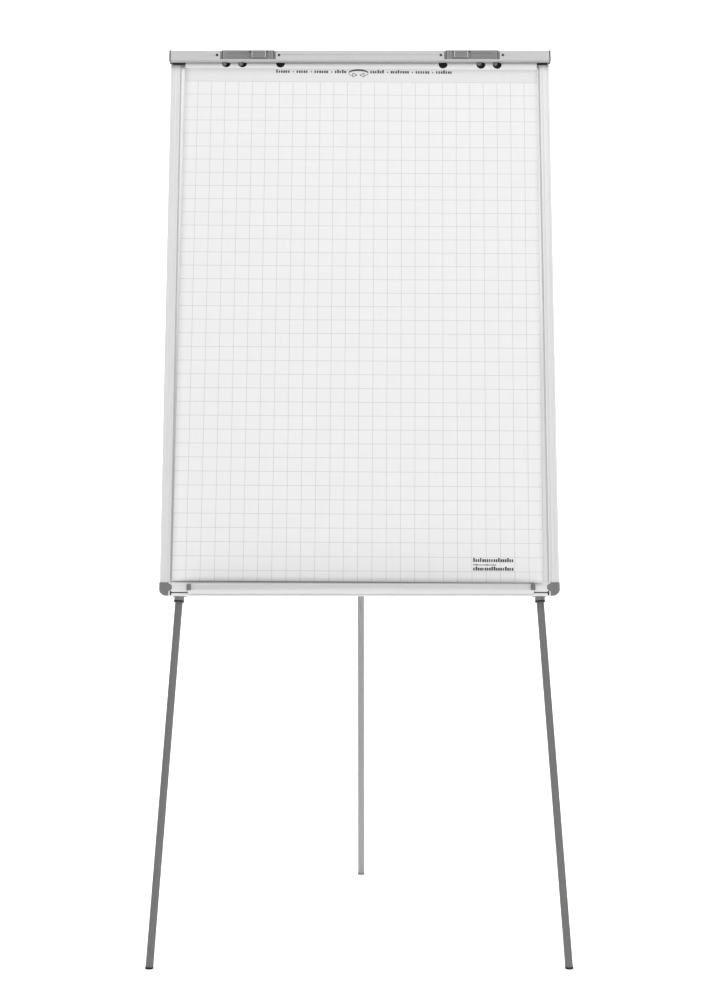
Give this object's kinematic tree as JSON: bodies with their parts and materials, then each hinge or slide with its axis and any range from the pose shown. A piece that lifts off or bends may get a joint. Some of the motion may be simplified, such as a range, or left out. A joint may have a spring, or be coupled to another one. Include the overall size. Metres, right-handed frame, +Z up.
{
  "type": "flipchart easel",
  "caption": "Tripod easel with a framed writing board that leans back, a hinged rail that clamps a paper pad, a pen tray, telescopic legs and a rear leg that folds flat.",
  "frame": {"origin": "on the floor, at the centre of the footprint", "axes": "+Z up; the writing board faces -Y and leans back; +X is to the right of a person who faces the board"},
  "size_m": [0.7282, 0.6985, 1.6292],
  "materials": {
    "anodised_aluminium": "satin",
    "leg_tube": "satin",
    "white_enamel": "gloss",
    "core_board": "matte",
    "back_aluminium": "satin",
    "paper": "matte",
    "grey_card": "matte",
    "grey_plastic": "satin",
    "dark_plastic": "satin",
    "black_rubber": "matte",
    "black_steel": "satin",
    "zinc_steel": "satin"
  },
  "bodies": {
    "board": {"writing_face": "white_enamel", "panel_core": "core_board", "back_sheet": "back_aluminium", "frame_left": "anodised_aluminium", "frame_right": "anodised_aluminium", "frame_top": "anodised_aluminium", "frame_bottom": "anodised_aluminium", "groove_insert": "black_rubber", "corner_cap_left": "grey_plastic", "corner_cap_right": "grey_plastic", "top_cap_left": "grey_plastic", "top_cap_right": "grey_plastic", "clamp_seat": "black_rubber", "pad_pegs": "grey_plastic", "pad_card": "grey_card", "pad_sheets": "paper", "pad_header": "paper", "pen_tray": "anodised_aluminium", "tray_clips": "grey_plastic", "rail_hinge_blocks": "anodised_aluminium", "rail_hinge_pins": "zinc_steel", "latch_keepers": "zinc_steel", "upper_tube_left": "leg_tube", "upper_tube_right": "leg_tube", "guide_ring_left": "dark_plastic", "guide_ring_right": "dark_plastic", "lower_bracket_left": "grey_plastic", "lower_bracket_right": "grey_plastic", "upper_bracket_left": "grey_plastic", "upper_bracket_right": "grey_plastic", "bracket_screws": "zinc_steel", "rear_hinge_bracket": "zinc_steel", "rear_hinge_screws": "zinc_steel", "rear_hinge_pin": "zinc_steel"},
    "clamp_rail": {"clamp_rail": "anodised_aluminium", "rail_cap_left": "dark_plastic", "rail_cap_right": "dark_plastic", "grip_strip": "black_rubber", "clip_housing_left": "grey_plastic", "clip_housing_right": "grey_plastic", "rail_screws": "black_steel"},
    "slider_left": {"slider_left": "grey_plastic"},
    "slider_right": {"slider_right": "grey_plastic"},
    "top_sheet": {"pad_top_sheet": "paper"},
    "rear_leg": {"rear_leg_head": "grey_plastic", "upper_tube_rear": "leg_tube", "guide_ring_rear": "dark_plastic"},
    "lower_leg_left": {"lower_tube_left": "leg_tube", "lock_plug_left": "dark_plastic", "foot_left": "black_rubber"},
    "lower_leg_right": {"lower_tube_right": "leg_tube", "lock_plug_right": "dark_plastic", "foot_right": "black_rubber"},
    "lower_leg_rear": {"lower_tube_rear": "leg_tube", "lock_plug_rear": "dark_plastic", "foot_rear": "black_rubber"}
  },
  "joints": [
    {"name": "rail_lift", "type": "hinge", "parent": "board", "child": "clamp_rail", "pos_m": [0, -0.10581, 1.62548], "axis": [-1, 0, 0], "range_deg": [0, 105]},
    {"name": "slider_left_slide", "type": "slide", "parent": "clamp_rail", "child": "slider_left", "axis": [-1, 0, 0], "range_m": [-0.0033, 0.005]},
    {"name": "slider_right_slide", "type": "slide", "parent": "clamp_rail", "child": "slider_right", "axis": [1, 0, 0], "range_m": [-0.0033, 0.005]},
    {"name": "sheet_turn", "type": "hinge", "parent": "board", "child": "top_sheet", "pos_m": [0.00224, -0.12484, 1.59417], "axis": [-1, 0.001, 0.006], "range_deg": [0, 118]},
    {"name": "rear_leg_fold", "type": "hinge", "parent": "board", "child": "rear_leg", "pos_m": [0, -0.08081, 1.59793], "axis": [-1, 0, 0], "range_deg": [0, 23.8]},
    {"name": "leg_left_slide", "type": "slide", "parent": "board", "child": "lower_leg_left", "axis": [-0.0609, -0.1561, -0.9859], "range_m": [-0.58, 0.23]},
    {"name": "leg_right_slide", "type": "slide", "parent": "board", "child": "lower_leg_right", "axis": [0.0609, -0.1561, -0.9859], "range_m": [-0.58, 0.23]},
    {"name": "leg_rear_slide", "type": "slide", "parent": "rear_leg", "child": "lower_leg_rear", "axis": [0, 0.2558, -0.9667], "range_m": [-0.58, 0.23]}
  ]
}
